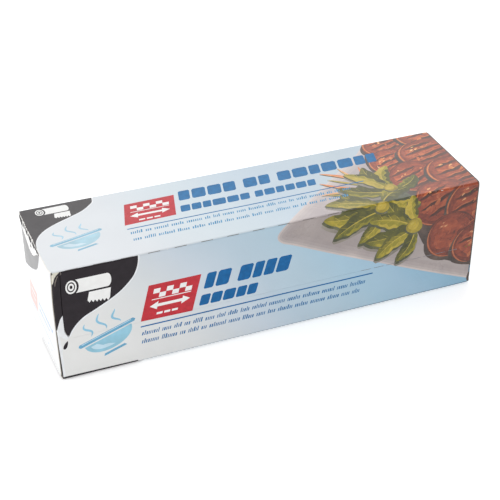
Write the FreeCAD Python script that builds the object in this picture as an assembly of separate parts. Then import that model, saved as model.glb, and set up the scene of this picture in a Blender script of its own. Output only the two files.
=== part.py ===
import FreeCAD, Part
import math
import os

# Closed dispenser carton for a kitchen foil roll, unopened, resting on its long bottom panel.
# One sealed pack, so one closed solid. Frame: origin at the centre of the bounding box's bottom,
# +X along the carton, -Y out of the front panel, +Z up. Millimetres.

# ---- driving dimensions ----------------------------------------------------------------------
LENGTH = 313.0        # corner to corner, without the bulge of the end flaps
DEPTH = 80.8          # front panel to rear panel
HEIGHT = 86.8         # bottom panel to top panel
BOARD = 0.55          # folding board thickness
FOLD_R = 1.5          # outer radius of a long fold
CROWN_LEFT = 2.1      # the left end flap's bulge across its width
CROWN_RIGHT = 0.5     # the right end flap's bulge across its width
CROWN_UP_LEFT = 0.6   # the left end flap's bulge over its height
CROWN_UP_RIGHT = 0.3  # the right end flap's bulge over its height
FLAP_SIDE = 1.1       # the outer end flap's cut edges stand back this much from front and rear
FLAP_FOOT = 2.2       # and this much from the bottom
SEAM_BACK = 2.6       # the bottom panel's raw edge stands back this much from the rear face
TEAR_FRAC = 0.62      # tear line, as a share of the height down from the top
TEAR_DASH = 8.0       # tear line: cut length
TEAR_PITCH = 10.0     # tear line: pitch
LID_CUT_LEFT = 5.85   # upright cut beside the left end
LID_CUT_RIGHT = 5.05  # upright cut beside the right end
CORNER_RUN = 2.4      # tear line and upright cuts join through a slanted corner, this far along X
CORNER_RISE = 6.0     # and this far up
FOLD_DASH = 9.0       # cut-crease of the top front fold: cut length
FOLD_PITCH = 18.6     # cut-crease of the top front fold: pitch
SLIT_W = 0.35         # width of a knife cut
SLIT_D = 0.45         # depth of a knife cut, less than the board

V = FreeCAD.Vector
HX, HY = LENGTH / 2.0, DEPTH / 2.0


def section(x):
    """The tube's outline at x: four flat panels, three rounded folds and the seam step at the rear bottom."""
    r, c = FOLD_R, FOLD_R * (1.0 - math.sqrt(0.5))
    seam_y, b = HY - SEAM_BACK, BOARD
    p = [
        Part.LineSegment(V(x, -HY + r, 0), V(x, seam_y, 0)),
        Part.LineSegment(V(x, seam_y, 0), V(x, seam_y, b)),
        Part.LineSegment(V(x, seam_y, b), V(x, HY - r, b)),
        Part.Arc(V(x, HY - r, b), V(x, HY - c, b + c), V(x, HY, b + r)),
        Part.LineSegment(V(x, HY, b + r), V(x, HY, HEIGHT - r)),
        Part.Arc(V(x, HY, HEIGHT - r), V(x, HY - c, HEIGHT - c), V(x, HY - r, HEIGHT)),
        Part.LineSegment(V(x, HY - r, HEIGHT), V(x, -HY + r, HEIGHT)),
        Part.Arc(V(x, -HY + r, HEIGHT), V(x, -HY + c, HEIGHT - c), V(x, -HY, HEIGHT - r)),
        Part.LineSegment(V(x, -HY, HEIGHT - r), V(x, -HY, r)),
        Part.Arc(V(x, -HY, r), V(x, -HY + c, c), V(x, -HY + r, 0)),
    ]
    return Part.Face(Part.Wire([e.toShape() for e in p]))


def crown(shape, grow):
    """Trims both ends of shape to their bulged form; grow moves both ends outward by that much."""
    over_y, over_z, mid_z = HY + 8.0, HEIGHT / 2.0 + 14.0, HEIGHT * 0.53
    for side, sag_y, sag_z in ((-1, CROWN_LEFT, CROWN_UP_LEFT), (1, CROWN_RIGHT, CROWN_UP_RIGHT)):
        drop_y = sag_y * (over_y / HY) ** 2
        drop_z = sag_z * (over_z / (HEIGHT / 2.0)) ** 2
        bulge = Part.BezierSurface()
        bulge.increase(2, 2)
        # the three control values of a parabola over -1..1 are 1, -1, 1
        for i, (y, fy) in enumerate(((-over_y, 1.0), (0.0, -1.0), (over_y, 1.0))):
            for j, (z, fz) in enumerate(((-over_z, 1.0), (0.0, -1.0), (over_z, 1.0))):
                x = HX + sag_y + sag_z + grow - drop_y * fy - drop_z * fz
                bulge.setPole(i + 1, j + 1, V(side * x, y, mid_z + z))
        beyond = bulge.toShape().extrude(V(side * 60.0, 0, 0))
        shape = shape.cut(beyond)
    return shape


reach = HX + max(CROWN_LEFT, CROWN_RIGHT) + 5.0
tube = section(-reach).extrude(V(2.0 * reach, 0, 0))

# the body up to the inner end flaps, then one board more for the glued outer end flap
body = crown(tube, -BOARD)
flap_zone = Part.makeBox(2.0 * reach, DEPTH - 2.0 * FLAP_SIDE, HEIGHT - FLAP_FOOT,
                         V(-reach, -HY + FLAP_SIDE, FLAP_FOOT))
flaps = crown(tube.common(flap_zone), 0.0)
# an outer end flap hangs from the top panel: its upper edge is a hard creased fold, so it stays sharp
carton = body.fuse(flaps).removeSplitter()


def knife(a, b, out):
    """A shallow cut from a to b into the board; out is the direction out of the board."""
    d = b.sub(a)
    length = d.Length
    d = d.normalize()
    side = d.cross(out).normalize()
    p = a.add(side.multiply(-SLIT_W / 2.0)).add(V(out).multiply(-SLIT_D))
    side = d.cross(out).normalize()
    base = Part.Face(Part.makePolygon([p, p.add(V(d).multiply(length)),
                                       p.add(V(d).multiply(length)).add(V(side).multiply(SLIT_W)),
                                       p.add(V(side).multiply(SLIT_W)), p]))
    return base.extrude(V(out).multiply(SLIT_D + 1.0))


def dashes(a, b, dash, pitch, out):
    total = b.sub(a).Length
    n = max(1, int(total // pitch))
    start = (total - (n - 1) * pitch - dash) / 2.0
    d = b.sub(a).normalize()
    return [knife(a.add(V(d).multiply(start + i * pitch)), a.add(V(d).multiply(start + i * pitch + dash)), out)
            for i in range(n)]


tear_z = HEIGHT * (1.0 - TEAR_FRAC)
left_x, right_x = -HX + LID_CUT_LEFT, HX - LID_CUT_RIGHT
front = V(0, -1, 0)
cuts = []
# the tear line along the front, its slanted corners and its upright ends
cuts += dashes(V(left_x + CORNER_RUN, -HY, tear_z), V(right_x - CORNER_RUN, -HY, tear_z), TEAR_DASH, TEAR_PITCH, front)
for x, s in ((left_x, 1.0), (right_x, -1.0)):
    cuts.append(knife(V(x + s * CORNER_RUN * 0.85, -HY, tear_z + CORNER_RISE * 0.15),
                      V(x + s * CORNER_RUN * 0.15, -HY, tear_z + CORNER_RISE * 0.85), front))
    cuts += dashes(V(x, -HY, tear_z + CORNER_RISE), V(x, -HY, HEIGHT - FOLD_R - 0.6), 9.0, 10.6, front)
# the cut-crease along the fold between the top and front panels
c = FOLD_R * (1.0 - math.sqrt(0.5))
diag = V(0, -math.sqrt(0.5), math.sqrt(0.5))
cuts += dashes(V(left_x, -HY + c, HEIGHT - c), V(right_x, -HY + c, HEIGHT - c), FOLD_DASH, FOLD_PITCH, diag)
carton = carton.cut(Part.makeCompound(cuts))
if len(carton.Solids) == 1:
    carton = carton.Solids[0]

# origin at the centre of the bounding box's bottom
bb = carton.optimalBoundingBox(False)
carton.translate(V(-(bb.XMin + bb.XMax) / 2.0, -(bb.YMin + bb.YMax) / 2.0, -bb.ZMin))
bb = carton.optimalBoundingBox(False)
print("foil_carton: valid %s, solids %d, faces %d, volume %.1f cm3" % (
    carton.isValid(), len(carton.Solids), len(carton.Faces), carton.Volume / 1000.0))
print("box x %.3f..%.3f  y %.3f..%.3f  z %.3f..%.3f" % (bb.XMin, bb.XMax, bb.YMin, bb.YMax, bb.ZMin, bb.ZMax))

os.makedirs("parts", exist_ok=True)
carton.exportStep("parts/foil_carton.step")
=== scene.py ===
import bpy
import math
import random
import numpy as np
from mathutils import Matrix, Vector
from mathutils.geometry import delaunay_2d_cdt


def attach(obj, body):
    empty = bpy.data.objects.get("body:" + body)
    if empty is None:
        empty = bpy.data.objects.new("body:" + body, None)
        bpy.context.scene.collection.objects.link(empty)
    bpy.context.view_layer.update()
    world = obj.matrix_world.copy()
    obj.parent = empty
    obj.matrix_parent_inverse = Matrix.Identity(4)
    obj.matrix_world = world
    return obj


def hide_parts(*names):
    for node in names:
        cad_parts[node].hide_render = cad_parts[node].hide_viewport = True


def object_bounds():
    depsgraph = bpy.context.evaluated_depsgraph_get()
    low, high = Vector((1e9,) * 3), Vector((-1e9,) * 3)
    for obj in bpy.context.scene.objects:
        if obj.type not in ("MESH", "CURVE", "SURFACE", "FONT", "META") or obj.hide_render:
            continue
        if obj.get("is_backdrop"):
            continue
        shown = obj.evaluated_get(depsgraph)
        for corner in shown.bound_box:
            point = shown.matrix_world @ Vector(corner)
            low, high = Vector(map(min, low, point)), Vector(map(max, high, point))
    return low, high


# Closed board carton of a kitchen foil roll. The carton is modelled as its real blank: one flat sheet with its
# creases, knife cuts and print, which is then folded up. Sheet coordinates (u, q) are millimetres of the blank:
# u runs along the carton, q runs round it, from the seam over bottom, front, top and rear to the glue flap.
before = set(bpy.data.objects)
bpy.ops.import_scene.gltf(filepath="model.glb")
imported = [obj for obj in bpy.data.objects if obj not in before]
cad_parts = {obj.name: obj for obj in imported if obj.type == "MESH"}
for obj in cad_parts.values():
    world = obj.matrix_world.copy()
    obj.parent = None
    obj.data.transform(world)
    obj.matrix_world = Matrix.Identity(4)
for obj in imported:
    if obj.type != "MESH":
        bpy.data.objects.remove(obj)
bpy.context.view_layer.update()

# ---- sizes, mm -------------------------------------------------------------------------------
XL, XR = -155.05, 157.45      # the two end planes, without bulge
HY, H = 40.4, 86.8
W = 2 * HY
R = 1.5                       # long folds
RF, RD = 0.85, 0.7            # outer end fold, inner flap folds
T = 0.5                       # board
GAP = 0.62                    # inner end flaps lie this far behind the outer one
SIDE, FOOT = 1.1, 2.2         # outer end flap: free edges stand back
SEAM, SEAM_Z, GLUE = 2.6, 0.55, 15.0
Q0, Q1 = -0.9, 85.9            # bottom and top crease of the front panel
Q2 = Q1 + W
Q3 = Q2 + H - SEAM_Z
QMIN, QMAX = Q0 - (W - SEAM), Q3 + GLUE
UL, UR = XL + GAP, XR - GAP
INNER = 14.0                  # inner end flaps, modelled this deep
FLAP = H - FOOT


def top_q(y):
    """Print on the top panel is placed from its front crease, which is y = -39.85."""
    return Q1 + y + 39.85


def smooth(t):
    t = np.clip(t, 0.0, 1.0)
    return t * t * (3.0 - 2.0 * t)


FOLDS = (  # q, corner (y, z), direction before, direction after
    (Q0, (-HY, 0.0), (-1.0, 0.0), (0.0, 1.0)),
    (Q1, (-HY, H), (0.0, 1.0), (1.0, 0.0)),
    (Q2, (HY, H), (1.0, 0.0), (0.0, -1.0)),
    (Q3, (HY, SEAM_Z), (0.0, -1.0), (-1.0, 0.0)),
)


def around(q):
    """Outer face of the folded tube at q: y, z and the inward direction."""
    y = np.where(q < Q0, -HY - (q - Q0), np.where(q < Q1, -HY, np.where(q < Q2, q - Q1 - HY, np.where(q < Q3, HY, HY - (q - Q3)))))
    z = np.where(q < Q0, 0.0, np.where(q < Q1, q - Q0, np.where(q < Q2, H, np.where(q < Q3, H - (q - Q2), SEAM_Z))))
    ny = np.where((q >= Q0) & (q < Q1), 1.0, np.where((q >= Q2) & (q < Q3), -1.0, 0.0))
    nz = np.where((q < Q0) | (q >= Q3), 1.0, np.where((q >= Q1) & (q < Q2), -1.0, 0.0))
    for qf, c, d0, d1 in FOLDS:
        s = q - qf
        m = np.abs(s) < R
        a = (s + R) / (2 * R) * (math.pi / 2)
        ca, sa = np.cos(a), np.sin(a)
        oy, oz = c[0] - R * d0[0] + R * d1[0], c[1] - R * d0[1] + R * d1[1]
        iy, iz = d1[0] * ca - d0[0] * sa, d1[1] * ca - d0[1] * sa
        y, z = np.where(m, oy - R * iy, y), np.where(m, oz - R * iz, z)
        ny, nz = np.where(m, iy, ny), np.where(m, iz, nz)
    return y, z, ny, nz


def gauss(x, y, z, c, s):
    return np.exp(-(((x - c[0]) / s[0]) ** 2 + ((y - c[1]) / s[1]) ** 2 + ((z - c[2]) / s[2]) ** 2))


def ridge(a, b, c0, c1, width):
    """A line dent from c0 to c1 in the plane of a and b: 1 on the line, 0 at width."""
    dx, dy = c1[0] - c0[0], c1[1] - c0[1]
    n = math.hypot(dx, dy)
    t = np.clip(((a - c0[0]) * dx + (b - c0[1]) * dy) / (n * n), 0.0, 1.0)
    d = np.hypot(a - c0[0] - t * dx, b - c0[1] - t * dy)
    return np.clip(1.0 - d / width, 0.0, 1.0) * np.sqrt(np.clip(4 * t * (1 - t) + 0.15, 0, 1))


def warp(x, y, z, under):
    """The real carton isn't a true box: bulged ends, sagging panels, a crushed corner and a few dents.

    under is 1 on the inner end flaps, which lie flatter than the outer one, and 0 elsewhere."""
    yn, zn = y / HY, z / H
    along = np.clip(1.0 - (x / 156.0) ** 2, 0.0, 1.0)
    # left end
    front_edge = 0.5 * np.exp(-((z - 60.0) / 17.0) ** 2) - 0.3 - 0.1 * smooth((zn - 0.8) / 0.2) - 0.8 * np.clip(1 - z / 32.0, 0, 1) ** 1.3
    rear_edge = 0.72 * zn ** 2
    w = (yn + 1.0) / 2.0
    p = np.where(y > 0, 4.0, 12.0)
    mid = (1.0 - np.clip(np.abs(yn), 0, 1) ** p) * (0.30 + 0.70 * np.clip(zn, 0, 1) ** 1.2)
    bulge = front_edge * (1 - w) + rear_edge * w + 1.62 * mid + 0.35 * mid * np.exp(-((z - 50.0) / 20.0) ** 2)
    dx = -np.minimum(bulge, 2.6) * smooth(1.0 - (x - XL) / 26.0) * (1.0 - 0.35 * under)
    # right end
    er = (0.6 * w - 0.75 * (1 - w)) * zn + (0.2 * w + 0.6 * (1 - w)) * (1 - zn)
    er = er + 0.55 * (1 - yn ** 2) * np.sin(np.clip(zn, 0, 1) * math.pi)
    dx = dx + er * smooth((x - 70.0) / (XR - 70.0))
    # panels
    dz = -0.28 * along * zn ** 3 - 0.40 * along * (1 - yn ** 2) * zn ** 3
    dy = -yn * (0.30 * along * np.sin(np.clip(zn, 0, 1) * math.pi) + 0.12 * along)
    ripple = 0.05 * (np.sin(x * 0.061 + 0.7 + 1.3 * zn) + np.sin(x * 0.113 + 2.1 + 2.0 * yn) * 0.6)
    dz = dz - (0.08 + ripple) * along * np.clip(1 - yn ** 2, 0, 1) * zn ** 3
    dy = dy - yn * (0.08 + ripple) * along * np.sin(np.clip(zn, 0, 1) * math.pi)
    # corners a little softened by handling
    g = gauss(x, y, z, (XL - 0.5, -HY, 0.0), (2.4, 2.4, 2.8))
    dx = dx - 0.25 * g
    g = gauss(x, y, z, (XR, -HY, 0.0), (2.6, 2.6, 3.0))
    dx, dy, dz = dx + 0.5 * g, dy + 0.1 * g, dz + 0.15 * g
    g = gauss(x, y, z, (XL, HY, H), (8.0, 9.0, 9.0))
    dx = dx - 0.8 * g
    g = gauss(x, y, z, (XL, -HY, H), (2.4, 2.4, 2.4))
    dx, dy, dz = dx + 0.2 * g, dy + 0.15 * g, dz - 0.15 * g
    g = gauss(x, y, z, (XR, -HY, H), (2.0, 2.0, 2.0))
    dx, dy, dz = dx - 0.35 * g, dy + 0.25 * g, dz - 0.3 * g
    g = gauss(x, y, z, (XR, HY, H), (2.0, 2.0, 2.0))
    dz, dy = dz - 0.3 * g, dy - 0.25 * g
    # dents and pressure marks in the front panel
    on_front = np.clip(1.0 - (y + HY) / 6.0, 0.0, 1.0)
    dy = dy + on_front * (0.34 * ridge(x, z, (-146.4, 21.0), (-149.6, 15.4), 2.6)
                          + 0.28 * ridge(x, z, (110.9, 20.9), (120.5, 6.8), 3.2)
                          + 0.22 * ridge(x, z, (152.4, 25.5), (152.0, 8.5), 1.8)
                          + 0.30 * gauss(x, y, z, (153.4, -HY, 5.0), (2.6, 9.0, 3.6))
                          + 0.16 * ridge(x, z, (-20.0, 24.0), (4.0, 11.0), 5.0))
    # a few soft creases in the end face
    on_end = smooth(1.0 - (x - XL) / 8.0)
    dx = dx + on_end * (0.30 * ridge(y, z, (-33.0, 70.0), (-37.5, 52.0), 3.0) + 0.22 * ridge(y, z, (28.0, 30.0), (12.0, 14.0), 5.0)
                        + 0.25 * gauss(x, y, z, (XL, 20.0, 74.0), (12.0, 9.0, 6.0)))
    return dx, dy, dz


SLITS = []  # (u0, q0, u1, q1, depth, width)


def cut_depth(u, q):
    d = np.zeros_like(u)
    for u0, q0, u1, q1, depth, width in SLITS:
        m = (u > min(u0, u1) - 1) & (u < max(u0, u1) + 1) & (q > min(q0, q1) - 1) & (q < max(q0, q1) + 1)
        if not m.any():
            continue
        a, b = u[m], q[m]
        dx, dy = u1 - u0, q1 - q0
        n2 = dx * dx + dy * dy
        t = ((a - u0) * dx + (b - q0) * dy) / n2
        off = np.hypot(a - u0 - np.clip(t, 0, 1) * dx, b - q0 - np.clip(t, 0, 1) * dy)
        d[m] = np.maximum(d[m], depth * np.clip(1.0 - off / (width / 2), 0, 1))
    return d


def fold(u, q, t):
    """Sheet point to space, mm; t is the depth into the board."""
    y, z, iy, iz = around(q)
    t = t + cut_depth(u, q)
    outer = (q > Q1 + SIDE - 1e-4) & (q < Q2 - SIDE + 1e-4)
    hang = outer & ((u < XL + RF) | (u > XR - RF))  # the outer end flap hangs straight down, also at its rounded corners
    iy, iz = np.where(hang, 0.0, iy), np.where(hang, -1.0, iz)
    x, depth, under = u.copy(), t.copy(), np.zeros_like(u)
    for side, flat in ((-1, XL), (1, XR)):
        r = np.where(outer, RF, RD)
        edge = np.where(outer, flat, flat - side * GAP)
        s = side * (u - edge)
        a = np.clip((s + r) / (2 * r), 0, 1) * (math.pi / 2)
        bent = s > -r
        straight = s > r
        xx = edge - side * r + side * (r - t) * np.sin(a)
        dd = r - (r - t) * np.cos(a)
        lean = np.where(outer, 0.0, smooth((s - r) / 5.0))
        under = np.maximum(under, lean)
        xx = np.where(straight, edge - side * (t + 0.35 * lean), xx)
        dd = np.where(straight, s, dd)
        x, depth = np.where(bent, xx, x), np.where(bent, dd, depth)
    y, z = y + iy * depth, z + iz * depth
    dx, dy, dz = warp(x, y, z, under)
    p = np.stack([x + dx, y + dy, z + dz], axis=-1)
    lo, hi = np.array([-158.23, -40.39, 0.0]), np.array([158.23, 40.39, 86.79])
    return np.clip(p, lo, hi)


# ---- the drawing: outlines in the sheet, painted one over the other -----------------------------
verts, edges, vmap = [], [], {}


def vid(u, q):
    k = (round(float(u), 3), round(float(q), 3))
    if k not in vmap:
        vmap[k] = len(verts)
        verts.append(k)
    return vmap[k]


def path(pts, closed=False, step=4.0):
    out = []
    n = len(pts)
    for i in range(n if closed else n - 1):
        a, b = pts[i], pts[(i + 1) % n]
        k = max(1, int(math.ceil(math.hypot(b[0] - a[0], b[1] - a[1]) / step)))
        for j in range(k):
            out.append((a[0] + (b[0] - a[0]) * j / k, a[1] + (b[1] - a[1]) * j / k))
    if not closed:
        out.append(pts[-1])
    ids = [vid(*p) for p in out]
    for i in range(len(ids) if closed else len(ids) - 1):
        a, b = ids[i], ids[(i + 1) % len(ids)]
        if a != b:
            edges.append((a, b))


SHAPES = []  # (array of points, material name, level); a higher level is printed over a lower one
level = 0


def shape(pts, mat, step=6.0):
    if len(pts) < 3:
        return
    path(pts, True, step)
    SHAPES.append((np.array(pts, float), mat, level))


def circle(c, r, mat, n=28, squash=1.0, turn=0.0):
    pts = []
    for i in range(n):
        a = 2 * math.pi * i / n
        pts.append((r * math.cos(a), r * squash * math.sin(a)))
    shape(moved(pts, c, turn), mat)


def taper_both(t):
    return 0.15 + 0.85 * math.sin(math.pi * min(1, max(0, t))) ** 0.7


def stroke(pts, width, mat, taper=None):
    """A line of the given width; taper gives the width's share along it."""
    n = len(pts)
    left, right = [], []
    for i, p in enumerate(pts):
        a, b = pts[max(0, i - 1)], pts[min(n - 1, i + 1)]
        dx, dy = b[0] - a[0], b[1] - a[1]
        d = math.hypot(dx, dy) or 1.0
        h = width / 2 * (taper(i / (n - 1)) if taper else 1.0)
        left.append((p[0] - dy / d * h, p[1] + dx / d * h))
        right.append((p[0] + dy / d * h, p[1] - dx / d * h))
    shape(left + right[::-1], mat)


def curve(pts, n=8):
    """Catmull-Rom through the points."""
    out = []
    m = len(pts)
    for i in range(m - 1):
        p0, p1, p2, p3 = pts[max(0, i - 1)], pts[i], pts[i + 1], pts[min(m - 1, i + 2)]
        for j in range(n):
            t = j / n
            out.append(tuple(0.5 * (2 * p1[k] + (p2[k] - p0[k]) * t + (2 * p0[k] - 5 * p1[k] + 4 * p2[k] - p3[k]) * t * t
                                    + (3 * p1[k] - p0[k] - 3 * p2[k] + p3[k]) * t ** 3) for k in (0, 1)))
    out.append(pts[-1])
    return out


def moved(pts, origin, turn=0.0, scale=1.0):
    c, s = math.cos(turn) * scale, math.sin(turn) * scale
    return [(origin[0] + x * c - y * s, origin[1] + x * s + y * c) for x, y in pts]


def offset(pts, d):
    out = []
    for i, p in enumerate(pts):
        a, b = pts[max(0, i - 1)], pts[min(len(pts) - 1, i + 1)]
        dx, dy = b[0] - a[0], b[1] - a[1]
        n = math.hypot(dx, dy) or 1.0
        out.append((p[0] - dy / n * d, p[1] + dx / n * d))
    return out


def clip(pts, q, above):
    """The part of an outline on one side of the line at q."""
    out = []
    keep = (lambda p: p[1] >= q) if above else (lambda p: p[1] <= q)
    for i, b in enumerate(pts):
        a = pts[i - 1]
        if keep(a) != keep(b):
            t = (q - a[1]) / (b[1] - a[1])
            out.append((a[0] + (b[0] - a[0]) * t, q))
        if keep(b):
            out.append(b)
    return out


def endp(y, z):
    """Print on the left end flap is placed by its height, where 85.9 is the flap's crease."""
    return (XL - (85.9 - z), top_q(y))


# outline of the blank
left_breaks = sorted([QMIN, QMIN + 1.5, Q0 - 1.6, Q0 + 1.6, Q1 - 1.2, Q1 + SIDE, Q2 - SIDE, Q2 + 1.2, Q3 - 1.6, Q3 + 1.6])
for u in (UL, UR):
    path([(u, q) for q in left_breaks])
path([(UL, QMIN), (UR, QMIN)])
path([(UL, Q3 + 1.6), (UL + 3.5, Q3 + 3.5), (UL + 6.0, QMAX), (UR - 6.0, QMAX), (UR - 3.5, Q3 + 3.5), (UR, Q3 + 1.6)])
domain = [[(UL, QMIN), (UR, QMIN), (UR, Q3 + 1.6), (UR - 3.5, Q3 + 3.5), (UR - 6.0, QMAX), (UL + 6.0, QMAX), (UL + 3.5, Q3 + 3.5), (UL, Q3 + 1.6)]]
for side, flat, edge in ((-1, XL, UL), (1, XR, UR)):
    far = flat + side * FLAP
    a, b, rc = Q1 + SIDE, Q2 - SIDE, 3.5
    pts = [(edge, a)]
    pts += [(far - side * rc * (1 - math.sin(t)), a + rc * (1 - math.cos(t))) for t in np.linspace(0, math.pi / 2, 7)]
    pts += [(far - side * rc * (1 - math.cos(t)), b - rc * (1 - math.sin(t))) for t in np.linspace(0, math.pi / 2, 7)]
    pts += [(edge, b)]
    path(pts, False, 2.5)
    domain.append(pts)
    for qa, qb in ((Q0 + 1.6, Q1 - 1.2), (Q2 + 1.2, Q3 - 1.6), (QMIN + 1.5, Q0 - 1.6)):
        pts = [(edge, qa), (edge + side * INNER, qa + INNER), (edge + side * INNER, qb - INNER), (edge, qb)]
        path(pts)
        domain.append(pts)

# creases
for qf, *_ in FOLDS:
    for s in (-R, -R * 0.6, -R * 0.2, R * 0.2, R * 0.6, R):
        if qf == Q3:
            path([(UL + (0 if s < 0.3 else 3), qf + s), (UR - (0 if s < 0.3 else 3), qf + s)])
        else:
            path([(UL, qf + s), (UR, qf + s)])
    path([(UL, qf), (UR, qf)])
for side, flat in ((-1, XL), (1, XR)):
    for s in (-RF, -RF * 0.5, 0.0, RF * 0.5, RF):
        path([(flat + side * s, Q1 + SIDE), (flat + side * s, Q2 - SIDE)], False, 2.5)
    for s in (-RD, -RD * 0.4, RD * 0.4, RD):
        e = flat - side * GAP + side * s
        k = max(s, 0.0)
        for qa, qb in ((Q0 + 1.6, Q1 - 1.2), (Q2 + 1.2, Q3 - 1.6), (QMIN + 1.5, Q0 - 1.6)):
            path([(e, qa + k), (e, qb - k)], False, 2.5)
    # lines that carry the end's bulge into the panels
    for s in (2.5, 6.0, 11.0, 17.0, 25.0):
        path([(flat - side * s, QMIN + 2), (flat - side * s, Q3)], step=5.0)
    for s in (0.8, 1.8, 3.2, 5.2, 8.0):
        for q in (Q1 + SIDE + s, Q2 - SIDE - s):
            path([(flat + side * (FLAP - 4), q), (flat - side * 12, q)])
    for s in (2.0, 4.0, 6.5, 10.0):
        e = flat - side * GAP + side * s
        for qa, qb in ((Q0 + 1.6, Q1 - 1.2), (Q2 + 1.2, Q3 - 1.6), (QMIN + 1.5, Q0 - 1.6)):
            path([(e, qa + s), (e, qb - s)])

# ---- base colours of the panels ----------------------------------------------------------------
BLEED = INNER + 2
shape([(XL - BLEED, Q0), (XR + BLEED, Q0), (XR + BLEED, Q1), (XL - BLEED, Q1)], "board_front", 8)
shape([(XL, Q1), (XR, Q1), (XR, Q2), (XL, Q2)], "board_top", 8)
shape([(XL, Q1), (XL, Q2), (XL - 90, Q2), (XL - 90, Q1)], "board_end", 8)

# ---- the serving picture: a plate, leaves and slices, laid out for this carton ------------------------
level = 1
rim_line = curve([(104.5, Q2 + 2.0), (92.0, 154.0), (70.0, 137.0), (44.0, 116.5), (22.0, 98.5), (7.0, 85.4), (0.4, 77.0), (3.4, 70.8), (14.0, 66.0),
                  (47.0, 50.4), (86.3, 32.8), (122.0, 17.2), (XR + 3, 1.2)], 5)
# on the top panel the plate takes its _top tones, painted lighter as painted light on the top
for d, mat in ((0.0, "plate_rim"), (1.3, "plate_lip"), (3.1, "plate_slope"), (5.4, "plate_well"), (8.4, "plate")):
    line = offset(rim_line, d) if d else rim_line
    ring = line + [(XR + 3, Q2 + 2.0)]
    shape(clip(ring, Q1, False), mat, 6)
    shape(clip(ring, Q1, True), mat + "_top", 6)


def blob(c, r, squash, turn, seed, mat, scale=1.0, shift=(0.0, 0.0), n=34, rough=0.035):
    rr = random.Random(seed)
    ph = [rr.random() * 6.28 for _ in range(4)]
    pts = []
    for i in range(n):
        a = 2 * math.pi * i / n
        k = r * scale * (1 + rough * math.sin(2 * a + ph[0]) + rough * math.sin(3 * a + ph[1]) + rough * 0.6 * math.sin(5 * a + ph[2]))
        pts.append((k * math.cos(a) + shift[0] * r, k * squash * math.sin(a) + shift[1] * r))
    shape(moved(pts, c, turn), mat)


def slice_round(c, r, squash, turn, seed, bands, lean):
    """A seared round slice: dark rim, lighter face with its grain, charred bands and a soft shine."""
    rr = random.Random(seed * 7)

    def spot(reach):
        a, d = rr.random() * 6.28, reach * math.sqrt(rr.random())
        return (c[0] + d * r * math.cos(a), c[1] + d * r * squash * math.sin(a))
    blob((c[0] - r * 0.09, c[1] - r * 0.12), r * 1.03, squash, turn, seed, "shade")
    blob(c, r, squash, turn, seed, "roast_rim")
    blob(c, r, squash, turn, seed, "roast_edge", 0.962)
    blob(c, r, squash, turn, seed, "roast_deep", 0.91, (0.01, 0.01))
    blob(c, r, squash, turn, seed, "roast", 0.83, (0.0, 0.03))
    blob(c, r, squash, turn, seed + 3, "roast_warm", 0.60, (-0.08, 0.10), 26, 0.07)
    blob(c, r, squash, turn, seed + 5, "roast_deep", 0.24, (0.34, -0.34), 16, 0.12)
    arc = [(r * 0.968 * math.cos(a), r * 0.968 * squash * math.sin(a)) for a in np.linspace(1.9, 4.2, 16)]
    stroke(moved(arc, c, turn), r * 0.06, "roast_light", taper_both)
    for _ in range(20):  # grain
        at, ln, w = spot(0.8), r * (0.12 + 0.22 * rr.random()), r * (0.016 + 0.022 * rr.random())
        b = (rr.random() - 0.5) * 0.3
        pts = [(t * ln, b * ln * math.sin(math.pi * t)) for t in np.linspace(0, 1, 5)]
        stroke(moved(pts, at, lean + (rr.random() - 0.5) * 0.9), w, rr.choice(("roast_edge", "roast_light", "roast_deep", "roast_rim", "roast_pale")), taper_both)
    for k in bands:
        half = math.sqrt(max(0.0, 0.84 ** 2 - k * k)) * (0.8 + 0.2 * rr.random())
        x0, x1 = -half * r, half * r * (0.75 + 0.25 * rr.random())
        ph = rr.random() * 3
        pts = [(x0 + (x1 - x0) * t, (k + 0.045 * math.sin(4 * t + ph) + 0.016 * math.sin(19 * t + ph)) * r) for t in np.linspace(0, 1, 18)]
        stroke(moved([(x, (y - r * 0.01) * squash) for x, y in pts], c, lean), r * 0.15, "roast_rim", taper_both)
        stroke(moved([(x, y * squash) for x, y in pts[1:-1]], c, lean), r * 0.10, "roast_dark", lambda t: (0.7 + 0.3 * math.sin(t * 23 + ph)) * taper_both(t))
        stroke(moved([(x, (y + r * 0.085) * squash) for x, y in pts[2:-5]], c, lean), r * 0.028, "roast_light", taper_both)
    for _ in range(5):
        w = r * (0.05 + 0.08 * rr.random())
        blob(spot(0.62), w, 0.45 + 0.3 * rr.random(), lean + rr.random(), rr.randint(1, 99), rr.choice(("roast_pale", "roast_light")), n=10, rough=0.12)
    for _ in range(3):
        at = (c[0] - r * (0.1 + 0.4 * rr.random()), c[1] + r * squash * (0.1 + 0.5 * rr.random()))
        blob(at, r * (0.035 + 0.05 * rr.random()), 0.42, lean + 0.3 * rr.random(), rr.randint(1, 99), "roast_shine", n=10, rough=0.15)
    for _ in range(5):
        blob(spot(0.7), 0.5 + 0.4 * rr.random(), 0.55, rr.random() * 3, rr.randint(1, 99), rr.choice(("leaf_b", "roast_dark", "roast_dark")), n=7)


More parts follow.
